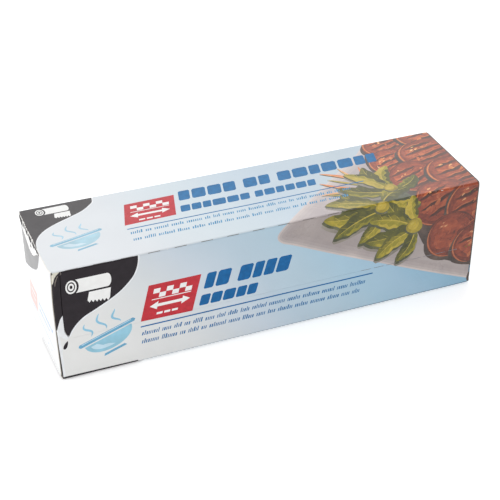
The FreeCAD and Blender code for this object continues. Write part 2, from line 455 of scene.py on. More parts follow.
def leaf(at, length, width, turn, tone, bend=0.15):
    """A frilly leaf with a pale rib, darker on its lower half."""
    n = 26
    rr = random.Random(int(at[0] * 7 + at[1] * 13 + turn * 100))
    ph = [rr.random() * 6.28 for _ in range(4)]
    up, dn, mid = [], [], []
    for i in range(n + 1):
        t = i / n
        w = width / 2 * math.sin(math.pi * t ** 0.9) ** 0.62
        fu = 1 + 0.10 * math.sin(t * 13 + ph[0]) + 0.07 * math.sin(t * 29 + ph[1])
        fd = 1 + 0.10 * math.sin(t * 12 + ph[2]) + 0.07 * math.sin(t * 27 + ph[3])
        m = (t * length, bend * length * math.sin(math.pi * t))
        mid.append(m)
        up.append((m[0], m[1] + w * fu))
        dn.append((m[0], m[1] - w * 1.06 * fd))
    ink = {"a": ("leaf_a", "leaf_a_low", "leaf_c"), "b": ("leaf_b", "leaf_b_low", "leaf_a"), "c": ("leaf_c", "leaf_a", "leaf_vein")}[tone]
    shape(moved([(x + 0.9, y) for x, y in up + dn[::-1][1:-1]], (at[0] - 0.5, at[1] - 1.7), turn), "shade_green")
    shape(moved(up + mid[::-1][1:-1], at, turn), ink[0])
    shape(moved(mid + dn[::-1][1:-1], at, turn), ink[1])
    low = [(m[0], m[1] + (d[1] - m[1]) * (0.5 + 0.12 * math.sin(i * 1.1 + ph[1]))) for i, (m, d) in enumerate(zip(mid, dn))]
    shape(moved(low[4:-5] + dn[4:-5][::-1], at, turn), "leaf_b_low")
    high = [(m[0], m[1] + (d[1] - m[1]) * (0.62 + 0.12 * math.sin(i * 1.3 + ph[2]))) for i, (m, d) in enumerate(zip(mid, up))]
    shape(moved(high[5:-6] + up[5:-6][::-1], at, turn), "leaf_vein" if tone == "c" else "leaf_c" if tone == "a" else "leaf_a")
    stroke(moved(mid[1:-2], at, turn), width * 0.085, "leaf_vein", lambda t: 1.0 - 0.8 * t)
    for t in (0.3, 0.5, 0.7):
        m = (t * length, bend * length * math.sin(math.pi * t))
        w = width / 2 * math.sin(math.pi * t ** 0.9) ** 0.62
        for k in (-1, 1):
            stroke(moved([m, (m[0] + w * 0.75, m[1] + k * w * 0.62)], at, turn), width * 0.022, ink[2])


def sliver(at, length, width, turn, mat, bend):
    pts = [(t * length, bend * length * math.sin(math.pi * t)) for t in np.linspace(0, 1, 9)]
    stroke(moved(pts, (at[0] - 0.3, at[1] - 1.2), turn), width, "shade_green", taper_both)
    stroke(moved(pts, at, turn), width, mat, taper_both)
    stroke(moved([(x, y + width * 0.16) for x, y in pts[1:-1]], at, turn), width * 0.28, "orange_pale" if mat == "orange" else "leaf_vein", taper_both)


# slices from the back to the front, on their dark bed
shape(curve([(112.0, Q2 + 2.0), (98.0, 152.0), (92.0, 136.0), (94.0, 118.0), (97.0, 100.0), (100.0, 80.0), (106.0, 62.0), (117.0, 40.0),
             (134.0, 25.0), (XR + 3, 15.5)], 4) + [(XR + 3, Q2 + 2.0)], "shade")
for c, r, sq, tn, sd, bands, lean in (
        ((121, 160), 21, 0.80, 0.25, 1, (-0.66, -0.33, 0.0, 0.33, 0.62), 0.30), ((153, 164), 23, 0.80, 0.1, 2, (-0.62, -0.28, 0.06), 0.24),
        ((113, 136), 20, 0.84, 0.5, 3, (-0.6, -0.25, 0.1, 0.46), 0.36), ((144, 138), 25, 0.80, 0.2, 4, (-0.66, -0.36, -0.04, 0.28, 0.6), 0.27),
        ((118, 111), 22, 0.86, 0.5, 6, (-0.55, -0.2, 0.18, 0.54), 0.42), ((152, 108), 25, 0.84, 0.2, 7, (-0.56, -0.22, 0.14, 0.5), 0.30),
        ((126, 79), 23, 0.90, 0.6, 9, (-0.42, 0.02, 0.45), 0.5), ((155, 70), 24, 0.92, 0.3, 10, (0.12, 0.5), 0.36),
        ((137, 47), 20, 0.94, 0.7, 11, (), 0.5), ((158, 35), 19, 0.9, 0.3, 12, (0.4,), 0.4)):
    slice_round(c, r, sq, tn, sd, bands, lean)
# the leaves' shaded bed, fine orange slivers, then three sprigs
shape(curve([(44, 79), (50, 90), (60, 102), (74, 114), (88, 117), (97, 108), (101, 92), (107, 72), (104, 56), (94, 48), (82, 50), (72, 61), (60, 70), (44, 79)], 4),
      "bed_green")
for at, ln, wd, tn, mat, bd in (((84, 106), 40, 3.0, 2.62, "orange", 0.08), ((86, 110), 42, 3.2, 2.40, "orange", -0.06), ((88, 112), 34, 2.6, 2.12, "orange_pale", 0.1),
                                ((80, 100), 38, 2.6, 2.86, "orange_pale", -0.08), ((90, 112), 26, 2.4, 1.75, "orange", 0.12), ((82, 104), 34, 2.2, 2.98, "leaf_c", 0.10),
                                ((86, 108), 36, 2.0, 2.52, "leaf_c", 0.02), ((94, 112), 22, 2.4, 1.35, "orange_pale", -0.1)):
    sliver(at, ln, wd, tn, mat, bd)
SPRIGS = (
        ((94, 104), 30, 11, 1.20, "c", 0.16), ((92, 104), 32, 12, 1.72, "b", 0.10), ((92, 102), 36, 12, 2.22, "c", -0.08), ((90, 98), 36, 13, 2.66, "b", 0.08),
        ((98, 100), 24, 10, 0.55, "b", -0.1), ((76, 84), 30, 12, 2.30, "b", 0.10), ((76, 84), 38, 13, 2.78, "a", -0.08), ((76, 82), 42, 14, 3.16, "a", 0.08),
        ((78, 80), 38, 13, 3.56, "b", -0.06), ((80, 78), 28, 11, 4.05, "a", 0.10), ((80, 88), 28, 12, 0.40, "b", 0.12), ((80, 84), 30, 12, -0.15, "a", -0.10),
        ((104, 64), 30, 12, 2.36, "b", 0.08), ((104, 62), 36, 13, 2.84, "a", -0.07), ((105, 60), 38, 13, 3.26, "b", 0.06), ((106, 58), 34, 13, 3.70, "a", -0.08),
        ((107, 57), 27, 11, 4.20, "b", 0.10), ((106, 66), 22, 10, 1.70, "c", 0.10))
for at, ln, wd, tn, tone, bd in SPRIGS:  # what they shade on the plate
    pts = [(t * ln, bd * ln * math.sin(math.pi * t)) for t in np.linspace(0, 1, 12)]
    if at[0] + ln * math.cos(tn) < 98:
        stroke(moved(pts, (at[0] - 1.2, at[1] - 3.4), tn), wd * 1.12, "plate_shade", lambda t: math.sin(math.pi * (0.04 + 0.94 * t) ** 0.9) ** 0.6)
for at, ln, wd, tn, tone, bd in SPRIGS:
    leaf(at, ln, wd, tn, tone, bd)
for c, r in (((79, 83), 5.4), ((106, 61), 6.6), ((94, 103), 5.0)):
    blob((c[0] - 0.7, c[1] - 1.1), r * 1.04, 0.95, 0.3, 5, "shade_green", n=20)
    blob(c, r, 0.95, 0.3, 5, "olive", n=22)
    blob((c[0] - r * 0.12, c[1] + r * 0.15), r, 0.95, 0.3, 6, "olive_light", 0.66, n=18)
    blob((c[0] - r * 0.28, c[1] + r * 0.34), r, 0.8, 0.5, 7, "leaf_vein", 0.24, n=10)

# painted shade: dark strips along the right end's creases, in the gap at the lower right corner and along the
# bottom-front crease, where the folds turn from the light
shape([(XR - 2.1, Q0 + 1.2), (XR + BLEED, Q0 + 1.2), (XR + BLEED, Q1), (XR - 1.7, Q1)], "shade")
shape([(XR - 2.0, Q0), (XR + BLEED, Q0), (XR + BLEED, 15.0), (XR - 2.0, 15.0)], "deep_blue")
shape(curve([(XR - 2.4, Q0 + 1.5), (XR - 3.0, 3.2), (XR - 2.5, 6.6), (XR - 1.9, 8.8)], 3) + [(XR + BLEED, 8.8), (XR + BLEED, Q0 + 1.5)], "shade")
shape([(XR - 1.5, Q1), (XR + 1.5, Q1), (XR + 1.5, Q2), (XR - 1.3, Q2)], "shade")
shape([(-101.0, Q0 - 1.5), (XR + BLEED, Q0 - 1.5), (XR + BLEED, Q0 + 1.55), (90.0, Q0 + 1.45), (20.0, Q0 + 1.15), (-101.0, Q0 + 0.85)], "deep_blue")

level = 2
shape([(XR + 1.0, Q1), (XR + 90, Q1), (XR + 90, Q2), (XR + 1.0, Q2)], "board_right", 8)
shape([(XL - BLEED, Q2 + 0.9), (XR + BLEED, Q2 + 0.9), (XR + BLEED, Q3), (XL - BLEED, Q3)], "board_rear", 8)
shape([(XL - BLEED, QMIN), (XR + BLEED, QMIN), (XR + BLEED, Q0 - 0.9), (XL - BLEED, Q0 - 0.9)], "board_bottom", 8)
shape([(XL, Q3), (XR, Q3), (XR, QMAX), (XL, QMAX)], "raw_board", 8)

# ---- the dark corner fields -----------------------------------------------------------------------
level = 3
swoosh = curve([(-97.7, Q1), (-98.0, 80.5), (-99.6, 74.4), (-102.6, 69.0), (-109.5, 61.9), (-117.3, 56.6), (-128.4, 50.8),
                (-135.3, 47.4), (-140.4, 43.4), (-144.4, 38.6), (-147.0, 33.9)], 4)
# front: white keyline, then the field, whose tip runs into the strip beside the cut
key = offset(swoosh, 1.0)
shape([(XL - BLEED, Q1)] + [(p[0], min(p[1], Q1)) for p in key] + [(-148.9, 31.4), (-152.6, 35.0), (-155.6, 38.0), (XL - BLEED, 38.0)], "key_white")
shape([(XL - BLEED, Q1)] + swoosh + [(-148.6, 36.0), (-149.7, 39.6), (-149.7, 51.9), (-151.8, 48.8), (-153.2, 44.9), (-154.6, 40.6),
                                    (XL - BLEED, 38.6)], "black")
shape(curve([(-148.1, 30.6), (-148.3, 28.0), (-149.1, 25.5), (-150.5, 24.1), (-151.7, 24.8), (-151.2, 27.2), (-149.8, 29.2), (-148.1, 30.6)], 3), "black")
shape([(XL - BLEED, Q1), (UL + 4.7, Q1), (UL + 4.4, 85.3), (UL + 3.2, 84.4), (UL + 2.1, 83.2), (UL + 1.2, 81.9), (UL + 0.5, 80.2), (UL + 0.1, 78.2), (UL - 0.9, 76.6), (XL - BLEED, 76.6)], "bare")
shape([(UL + 5.15, Q1), (UL + 5.75, Q1), (UL + 5.7, 84.4), (UL + 5.5, 83.2), (UL + 5.15, 83.3)], "bare_grey")
shape([(UL + 3.5, 83.4), (UL + 2.6, 82.2), (UL + 1.8, 80.6), (UL + 1.1, 78.6), (UL + 0.95, 75.5), (UL + 1.35, 75.6), (UL + 1.75, 78.2), (UL + 2.5, 80.4), (UL + 3.2, 81.9)], "bare_grey")
# the same field on the bottom and rear panels, which are finished plainly
for q_top in (Q0, Q3):
    pts = [(p[0], q_top - (Q1 - p[1])) for p in swoosh]
    edge = [(p[0], q_top - (Q1 - p[1])) for p in key]
    shape([(XL - BLEED, q_top)] + [(p[0], min(p[1], q_top)) for p in edge] + [(XL - BLEED, q_top - 54)], "key_white")
    shape([(XL - BLEED, q_top)] + pts + [(XL - BLEED, q_top - 50)], "black")
    shape([(-98.0, q_top - 57.2), (75.0, q_top - 57.2), (75.0, q_top - 56.2), (-98.0, q_top - 56.2)], "blue")
# the bottom panel's field comes round the lower crease
shape([(XL - 1, Q0 - 1.5), (-101.0, Q0 - 1.5), (-101.0, Q0 + 1.9), (-110.0, Q0 + 2.0), (-128.0, Q0 + 2.2), (-150.0, Q0 + 2.4), (XL - 1, Q0 + 2.4)], "black")
# painted shadow: a thin black line in the gap along the front's left crease, then a white strip beside it, a painted
# highlight where the rounded fold catches the light
shape([(UL - 0.9, Q0 + 2.4), (UL + 0.42, Q0 + 2.4), (UL + 0.32, 10.0), (UL + 0.05, 20.0), (UL - 0.3, 28.0), (UL - 0.5, 39.0), (UL - 0.9, 39.0)], "black")
shape([(UL + 0.42, Q0 + 2.4), (UL + 2.1, Q0 + 2.4), (UL + 1.9, 12.0), (UL + 1.9, 24.0), (UL + 1.2, 35.0), (UL - 0.5, 39.0), (UL - 0.3, 28.0), (UL + 0.05, 20.0),
       (UL + 0.32, 10.0)], "key_white")
# painted shade: the inner flap, seen in the gap behind the outer end flap's edge, painted black
shape([(UL - BLEED, Q0 + 1.7), (UL - 0.9, Q0 + 1.7), (UL - 0.9, 60.0), (UL - BLEED, 60.0)], "black")
# top
top_swoosh = curve([(-105.4, Q2 + 1.2), (-106.6, top_q(35.0)), (-109.6, top_q(31.2)), (-116.3, top_q(25.6)), (-126.0, top_q(20.9)),
                    (-136.5, top_q(16.0)), (-145.0, top_q(10.2)), (-150.8, top_q(3.2)), (-153.9, top_q(-4.8)), (-155.1, top_q(-17.0))], 4)
key = offset(top_swoosh, 0.9)
shape([(XL, Q2 + 1.2)] + key + [(XL, top_q(-18.5))], "key_white")
# the top's field is painted a lighter black than the front's, as painted sheen
shape([(XL, Q2 + 1.2)] + top_swoosh + [(XL, top_q(-17.0))], "black_top")
# left end: the field runs on over the crease, with a pale band under it
end_edge = curve([endp(-17.0, 85.9), endp(-13.0, 78.0), endp(-8.4, 70.4), endp(-2.0, 65.0), endp(8.0, 59.4), endp(20.0, 53.6), endp(30.0, 49.4), endp(HY, 44.5)], 4)
shape([endp(HY, 85.9)] + [endp(-18.3, 85.9)] + offset(end_edge, 1.0) + [endp(HY, 43.5)], "key_white")
# on the end the black is painted lighter still, as painted sheen of the strong light from the left
shape([endp(HY, 85.9)] + end_edge, "black_end")
shape([endp(HY, 48.0), endp(37.6, 48.0), endp(38.4, 40.0), endp(38.9, 33.0), endp(HY, 33.0)], "black_end")
shape(curve([endp(HY, 85.3), endp(24.0, 85.2), endp(8.0, 85.3), endp(-8.0, 85.4), endp(-14.5, 84.6), endp(-9.5, 81.4), endp(-5.3, 78.6), endp(0.0, 74.8),
             endp(5.0, 72.9), endp(12.5, 72.5), endp(21.6, 75.0), endp(28.5, 77.6), endp(35.0, 77.4), endp(HY, 76.6)], 4), "scuffed")
# what is left of the dark print under the crease
for y0, w, z0, z1 in ((37.6, 10.4, 85.85, 78.8), (25.8, 4.6, 85.7, 81.6), (19.6, 7.0, 85.75, 80.8), (11.2, 8.2, 85.75, 80.6), (1.8, 6.4, 85.75, 81.2),
                      (-4.8, 10.6, 85.8, 83.0), (9.4, 4.2, 79.0, 76.8)):
    shape([endp(y0 - f * w, z1 + g * (z0 - z1)) for f, g in ((0.0, 1.0), (0.5, 1.0), (1.0, 1.0), (0.96, 0.42), (0.82, 0.08), (0.64, 0.26), (0.44, 0.0),
                                                           (0.26, 0.22), (0.1, 0.16), (0.0, 0.55))], "black_jag")

# ---- generic marks in place of the names ------------------------------------------------------------


def roll_mark(at, s, turn, light, dark):
    """A pictogram of a roll with its sheet drawn out and torn off along a zigzag."""
    f = lambda pts: moved(pts, at, turn, s)
    oval = lambda cx, rx, ry, n=30: [(cx + rx * math.cos(2 * math.pi * k / n), ry * math.sin(2 * math.pi * k / n)) for k in range(n)]
    shape(f([(-8.5, -5.2), (15.2, -5.2)] + [(15.2 + 2.6 * math.cos(t), 5.2 * math.sin(t)) for t in np.linspace(-1.4, 1.4, 12)] + [(15.2, 5.2), (-8.5, 5.2)]), light)
    shape(f(oval(-8.5, 4.7, 6.2)), dark)
    shape(f(oval(-8.9, 3.7, 5.2)), light)
    shape(f(oval(-8.9, 2.7, 3.9)), dark)
    shape(f(oval(-8.9, 2.0, 2.9)), light)
    shape(f(oval(-8.9, 0.95, 1.45)), dark)
    teeth = []
    for k in range(6):
        teeth += [(1.2 + k * 2.5, -13.0 - (0.25 * k)), (2.45 + k * 2.5, -15.0 - 0.25 * k)]
    shape(f([(2.6, -6.6)] + teeth + [(16.2, -14.2), (17.2, -6.6)]), light)


roll_mark((-134.0, 72.2), 1.0, 0.0, "white_ink", "black")
roll_mark((-136.5, top_q(33.2)), 0.72, math.radians(1), "white_ink", "black_top")


def bowl_mark(at, turn, s=1.0, on=""):
    """A steaming bowl in pale blues; with on="_top" it takes the copies of its inks painted lighter, as painted light
    on the top panel.
    """
    f = lambda pts: moved(pts, at, turn, s)
    rim = [(-19.0, 0.0), (19.0, 0.0), (20.2, 1.4), (19.0, 2.9), (-19.0, 2.9), (-20.2, 1.4)]
    body = [(-16.5, -0.9)] + [(-16.5 * math.cos(t), -0.9 - 10.6 * math.sin(t)) for t in np.linspace(0.1, math.pi - 0.1, 18)] + [(16.5, -0.9)]
    shape(f(body), "sky_mid" + on)
    shape(f([(-12.8, -2.6)] + [(-12.8 * math.cos(t), -2.6 - 6.4 * math.sin(t)) for t in np.linspace(0.15, math.pi * 0.55, 9)]
            + [(-2.0, -6.4), (-5.5, -5.6), (-8.6, -2.6)]), "sky_light" + on)
    shape(f(rim), "sky_deep" + on)
    shape(f([(-17.5, 1.9), (17.0, 1.9), (17.6, 2.4), (-17.5, 2.4)]), "sky_light" + on)
    shape(f([(-7.0, -12.6), (7.0, -12.6), (8.2, -14.4), (-8.2, -14.4)]), "sky_deep" + on)
    for k, dx in enumerate((-9.5, 0.0, 9.5)):
        w = [(dx + 1.9 * math.sin(t * 6.2 + k * 0.7), 5.0 + (11.0 + 2.5 * (k == 1)) * t) for t in np.linspace(0, 1, 14)]
        stroke(f(w), 1.6 * s, "sky_line" + on, taper_both)


bowl_mark((-121.0, 28.0), math.radians(19), 1.05)
bowl_mark((-128.0, top_q(-6.5)), math.radians(14), 0.93, "_top")


def panel_mark(tl, tr, br, bl):
    """A leaning red panel with a measured length: a scale bar over a double-headed arrow."""
    shape([tl, tr, br, bl], "red")
    cx, cy = (tl[0] + tr[0] + br[0] + bl[0]) / 4, (tl[1] + bl[1]) / 2
    sl = (tl[0] - bl[0]) / (tl[1] - bl[1])
    k = (tl[1] - bl[1]) / 29.3

    def g(x, y):
        return (cx + x + sl * y * k, cy + y * k)
    for row, y0 in ((0, 6.9), (1, 3.1)):
        for i in range(row, 6, 2):
            x = -13.8 + i * 4.6
            shape([g(x, y0), g(x + 4.6, y0), g(x + 4.6, y0 + 3.8), g(x, y0 + 3.8)], "white_ink")
    shape([g(-13.8, 1.6), g(13.8, 1.6), g(13.8, 2.3), g(-13.8, 2.3)], "white_ink")
    shape([g(-9.5, -4.7), g(9.5, -4.7), g(9.5, -2.3), g(-9.5, -2.3)], "white_ink")
    for s in (-1, 1):
        shape([g(s * 8.6, -0.2), g(s * 14.2, -3.5), g(s * 8.6, -6.8)], "white_ink")
    for x in (-8.0, -2.6, 2.8):
        shape([g(x, -11.4), g(x + 4.2, -11.4), g(x + 4.2, -9.6), g(x, -9.6)], "white_ink")


panel_mark((-91.3, 60.0), (-54.5, 60.0), (-61.2, 31.5), (-97.9, 32.1))
panel_mark((-87.5, top_q(22.8)), (-51.4, top_q(23.3)), (-58.2, top_q(-1.6)), (-94.8, top_q(-2.6)))


def blocks(x0, x1, base, xh, asc, words, mat, slant=0.26, gap=1.25, seed=1):
    """A headline's place: a run of leaning solid tiles in groups."""
    rr = random.Random(seed)
    ws = []
    for n in words:
        for i in range(n):
            ws.append(rr.choice((0.78, 0.9, 1.0, 1.1, 1.25)))
        ws.append(None)
    ws.pop()
    space = xh * 0.52
    total = x1 - x0 - space * ws.count(None) - gap * (len([w for w in ws if w]) - 1 - ws.count(None)) - slant * xh
    unit = total / sum(w for w in ws if w)
    x = x0
    prev = None
    for w in ws:
        if w is None:
            x += space - gap
            prev = None
            continue
        h = asc if prev is None else xh
        ww = w * unit
        c = min(ww, h) * 0.12
        shape([(x + px + slant * py, base + py) for px, py in
               ((0, c), (c, 0), (ww - c, 0), (ww, c), (ww, h - c), (ww - c, h), (c, h), (0, h - c))], mat)
        x += ww + gap
        prev = w


def ticks(x0, x1, base, xh, mat, seed, slant=0.25):
    """Small copy: fine leaning ticks in word-like groups."""
    rr = random.Random(seed)
    x = x0
    while x < x1 - 3:
        for i in range(rr.choice((3, 4, 5, 5, 6, 7, 8, 9))):
            w = rr.choice((0.62, 0.7, 0.8, 1.0))
            h = xh * (1.42 if rr.random() < 0.2 else 1.0)
            if x + w > x1:
                break
            shape([(x, base), (x + w, base), (x + w + slant * h, base + h), (x + slant * h, base + h)], mat)
            x += w + rr.choice((0.55, 0.62, 0.7))
        x += 1.7


blocks(-53.1, 12.0, 47.3, 12.4, 12.4, (2, 4), "blue", seed=3, gap=1.5)
blocks(-56.6, -12.8, 34.2, 8.4, 8.4, (5,), "blue", seed=8, gap=1.2)
shape([(-98.2, 27.35), (75.2, 27.35), (75.4, 28.4), (-97.9, 28.4)], "blue")
ticks(-97.6, 72.7, 20.6, 2.55, "blue_fine", 11)
ticks(-97.9, 68.6, 13.9, 2.55, "blue_fine", 12)

# on the top panel the blue inks are painted lighter than on the front: painted light on the top
blocks(-50.5, 105.0, top_q(14.4), 11.8, 11.8, (4, 2, 7), "blue_top", seed=21, gap=1.6)
blocks(-54.0, 49.0, top_q(0.2), 7.8, 7.8, (6, 6), "blue_top", seed=22, gap=1.15)
shape([(-94.8, top_q(-8.1)), (80.0, top_q(-8.1)), (80.3, top_q(-7.1)), (-94.6, top_q(-7.1))], "blue_top")
ticks(-94.2, 71.0, top_q(-14.2), 2.5, "blue_fine_top", 13)
ticks(-94.9, 62.0, top_q(-22.4), 2.5, "blue_fine_top", 14)

# left end: a small repeat of the printed marks, its inks painted pale: painted light for the strong light that washes
# out the end face
shape([endp(27.0, 39.6), endp(6.0, 39.6), endp(12.0, 20.6), endp(33.0, 20.6)], "red_faint")
shape([endp(23.5, 35.0), endp(11.0, 35.0), endp(11.6, 33.0), endp(24.1, 33.0)], "board_end")
shape([endp(25.0, 29.0), endp(14.0, 29.0), endp(14.5, 27.4), endp(25.6, 27.4)], "board_end")
for z0, y0, y1, h in ((33.0, 3.0, -31.0, 3.0), (27.0, 4.5, -22.0, 2.4)):
    y = y0
    rr = random.Random(int(z0))
    while y > y1:
        w = rr.choice((1.6, 2.2, 3.0))
        shape([endp(y, z0), endp(y - w, z0), endp(y - w - 0.5, z0 + h), endp(y - 0.5, z0 + h)], "blue_faint")
        y -= w + 0.8
shape([endp(34.0, 18.6), endp(-30.0, 18.6), endp(-30.0, 17.9), endp(34.0, 17.9)], "blue_faint")
circle(endp(-12.6, 11.0), 0.9, "blue_faint", 12)
circle(endp(-20.4, 10.8), 0.9, "blue_faint", 12)

# ---- cuts ----------------------------------------------------------------------------------------
level = 4


def slit(a, b, depth=0.32, width=0.42, mat="cut_line"):
    """A knife cut: a fine groove; where mat is given, a colour painted over the groove: painted shade in the cut, in
    places with the bare cut edge's tone.
    """
    dx, dy = b[0] - a[0], b[1] - a[1]
    d = math.hypot(dx, dy)
    nx, ny = -dy / d * width / 2, dx / d * width / 2
    SLITS.append((a[0], a[1], b[0], b[1], depth, width))
    pts = [(a[0] + nx, a[1] + ny), (b[0] + nx, b[1] + ny), (b[0] - nx, b[1] - ny), (a[0] - nx, a[1] - ny)]
    if mat:
        shape(pts, mat, 3)
    else:
        path(pts, True, 3)
    path([a, b], False, 3)


TEAR = 32.1
for i in range(29):
    a = -144.0 + i * 10.0
    slit((a, TEAR), (a + 7.6, TEAR), 0.2, 0.4, "tear_ink" if i > 20 else None)
slit((-149.7, Q1 - 3.2), (-149.7, 52.4), 0.36, 0.5, "cut_dark")
slit((-149.7, 51.6), (-149.7, 40.2), 0.3, 0.4, None)
slit((-149.6, 39.2), (-149.3, 37.4), 0.36, 0.5)
slit((-149.1, 36.9), (-147.4, 33.6), 0.36, 0.5)
for a, b in ((83.4, 75.4), (72.6, 64.4), (61.4, 53.6), (50.6, 42.6)):
    slit((152.4, a), (152.4, b), 0.22, 0.4, None)
slit((152.3, 38.0), (150.6, 33.4), 0.22, 0.4, None)
for i in range(16):
    a = -145.6 + i * 18.3
    slit((a, Q1), (a + 8.2, Q1), 0.3 if i < 12 else 0.2, 0.5, "cut_line" if i < 8 else "cut_soft" if i < 12 else None)

# ---- mesh the sheet --------------------------------------------------------------------------------


def inside(px, py, poly):
    """Even-odd test of many points against one polygon."""
    poly = np.asarray(poly, float)
    x0, y0 = poly[:, 0], poly[:, 1]
    x1, y1 = np.roll(x0, -1), np.roll(y0, -1)
    odd = np.zeros(len(px), bool)
    for a, b, c, d in zip(x0, y0, x1, y1):
        if b == d:
            continue
        m = (py >= min(b, d)) & (py < max(b, d))
        if m.any():
            odd[m] ^= px[m] < (c - a) * (py[m] - b) / (d - b) + a
    return odd


grid = []
for i in range(int((XR - XL + 180) / 5.0)):
    for j in range(int((QMAX - QMIN) / 5.0) + 1):
        grid.append((XL - 88 + i * 5.0 + (2.5 if j % 2 else 0.0), QMIN + 2.2 + j * 5.0))
for cu, cq, ru, rq, st in ((XL + 6, 5.0, 8, 8, 1.3), (-148, 18.5, 5, 6, 1.2), (115.5, 14, 8, 9, 1.6), (153, 13, 4, 14, 1.5), (XL - 80, Q1 + 6, 7, 7, 1.4),
                           (XL + 5, -5, 8, 6, 1.4), (XL + 4, Q1 - 4, 5, 5, 1.4), (XR - 4, 4, 5, 5, 1.4), (XL - 25, Q1 + 6, 14, 6, 2.0)):
    for i in range(int(2 * ru / st)):
        for j in range(int(2 * rq / st)):
            grid.append((cu - ru + i * st + (st / 2 if j % 2 else 0), cq - rq + j * st + 0.137))
grid = np.array(grid)
keep = np.zeros(len(grid), bool)
for poly in domain:
    keep |= inside(grid[:, 0], grid[:, 1], poly)
for p in grid[keep]:
    vid(*p)

res = delaunay_2d_cdt([Vector(v) for v in verts], edges, [], 0, 1e-4, False)
co2 = np.array([(v[0], v[1]) for v in res[0]], float)
tri = np.array([f for f in res[2] if len(f) == 3], int)
cen = co2[tri].mean(axis=1)
ok = np.zeros(len(tri), bool)
for poly in domain:
    ok |= inside(cen[:, 0], cen[:, 1], poly)
tri, cen = tri[ok], cen[ok]
e1, e2 = co2[tri[:, 1]] - co2[tri[:, 0]], co2[tri[:, 2]] - co2[tri[:, 0]]
area = e1[:, 0] * e2[:, 1] - e1[:, 1] * e2[:, 0]
tri[area < 0] = tri[area < 0][:, ::-1]
keep = np.abs(area) > 1e-7
tri, cen = tri[keep], cen[keep]

mats_used = []
paint = np.full(len(tri), -1, int)
for pts, mat, _ in sorted(SHAPES, key=lambda s: s[2]):
    lo, hi = pts.min(0), pts.max(0)
    cand = np.nonzero((cen[:, 0] >= lo[0]) & (cen[:, 0] <= hi[0]) & (cen[:, 1] >= lo[1]) & (cen[:, 1] <= hi[1]))[0]
    if not len(cand):
        continue
    hit = cand[inside(cen[cand, 0], cen[cand, 1], pts)]
    if mat not in mats_used:
        mats_used.append(mat)
    paint[hit] = mats_used.index(mat)
if "raw_board" not in mats_used:
    mats_used.append("raw_board")
raw = mats_used.index("raw_board")
paint[paint < 0] = raw

used = np.unique(tri)
remap = -np.ones(len(co2), int)
remap[used] = np.arange(len(used))
co2, tri = co2[used], remap[tri]
nv = len(co2)

outer = fold(co2[:, 0], co2[:, 1], np.zeros(nv))
inner = fold(co2[:, 0], co2[:, 1], np.full(nv, T))


def sheet_normal(u, q, t):
    h = 0.01
    hang = (q > Q1 + SIDE - 1e-3) & (q < Q2 - SIDE + 1e-3) & ((u < XL + RF) | (u > XR - RF))
    q = np.where(hang, np.clip(q, Q1 + SIDE + 0.03, Q2 - SIDE - 0.03), q)
    du = fold(u + h, q, t) - fold(u - h, q, t)
    dq = fold(u, q + h, t) - fold(u, q - h, t)
    n = np.cross(du, dq)
    return n / np.maximum(np.linalg.norm(n, axis=1, keepdims=True), 1e-12)


# rim: boundary edges of the sheet, in the direction that their triangle uses
ed = np.concatenate([tri[:, [0, 1]], tri[:, [1, 2]], tri[:, [2, 0]]])
seen = {}
for a, b in ed:
    seen[(int(a), int(b))] = 1
rim = [(a, b) for (a, b) in seen if (b, a) not in seen]
rim_q = np.array([(b, a, a + nv, b + nv) for a, b in rim], int)

# UV net on one square map: front and top large, ends at the same scale, hidden faces smaller
PX = 1024.0


def net(u, q, cu, cq):
    """Pixels on the map for sheet points (u, q); the island is chosen by the face centre (cu, cq)."""
    s = 3.2
    x, y = 10 + (u - XL) * s, 1014 - (q - Q0 + 1.5) * s
    left, right = cu < XL, cu > XR
    top = (cq > Q1 + SIDE) & (cq < Q2 - SIDE)
    low = 1014 - (Q2 - Q0 + 3.0) * s - 8
    x = np.where(left & top, 10 + (q - Q1) * s, np.where(right & top, 275 + (q - Q1) * s, x))
    y = np.where(left & top, low - (XL - u) * s, np.where(right & top, low - (u - XR) * s, y))
    s2 = 1.5
    rear, bot = (cq > Q2 + 1.5) & (cq < Q3 + 1.5), cq < Q0 - 1.5
    x = np.where(rear | bot, 540 + (u - XL) * s2, x)
    y = np.where(rear, low - (q - Q2) * s2, np.where(bot, low - 136 + (q - Q0) * s2, y))
    s3 = 0.42
    hid = ((cu < UL) | (cu > UR)) & ~top | (cq > Q3 + 1.5)
    x = np.where(hid, 760 + (u - XL + 90) * s3, x)
    y = np.where(hid, 170 - (q - QMIN) * s3, y)
    return x / PX, y / PX


nt = len(tri)
loops_uv = np.zeros((nt * 2 + len(rim_q), 4, 2))
pu, pq = co2[tri][:, :, 0], co2[tri][:, :, 1]
cu, cq = pu.mean(1)[:, None] + 0 * pu, pq.mean(1)[:, None] + 0 * pq
ux, uy = net(pu, pq, cu, cq)
in_x, in_y = (250 + (pu - XL + 90) * 0.42) / PX, (170 - (pq - QMIN) * 0.42) / PX

faces = [tuple(int(i) for i in f) for f in tri]
faces += [tuple(int(i) + nv for i in f[::-1]) for f in tri]
faces += [tuple(int(i) for i in f) for f in rim_q]
all_co = np.concatenate([outer, inner]) * 0.001
mesh = bpy.data.meshes.new("carton_board")
mesh.from_pydata([tuple(p) for p in all_co], [], faces)
mat_index = np.concatenate([paint, np.full(nt, raw), np.full(len(rim_q), raw)]).astype(np.int32)
mesh.polygons.foreach_set("material_index", mat_index)
mesh.polygons.foreach_set("use_smooth", np.concatenate([np.ones(2 * nt, bool), np.zeros(len(rim_q), bool)]))

uvs = np.concatenate([np.stack([ux, uy], -1).reshape(-1, 2), np.stack([in_x[:, ::-1], in_y[:, ::-1]], -1).reshape(-1, 2),
                      np.tile(np.array([[20, 12], [32, 12], [32, 24], [20, 24]], float) / PX, (len(rim_q), 1))])
layer = mesh.uv_layers.new(name="OFBake")
layer.uv.foreach_set("vector", uvs.astype(np.float32).ravel())

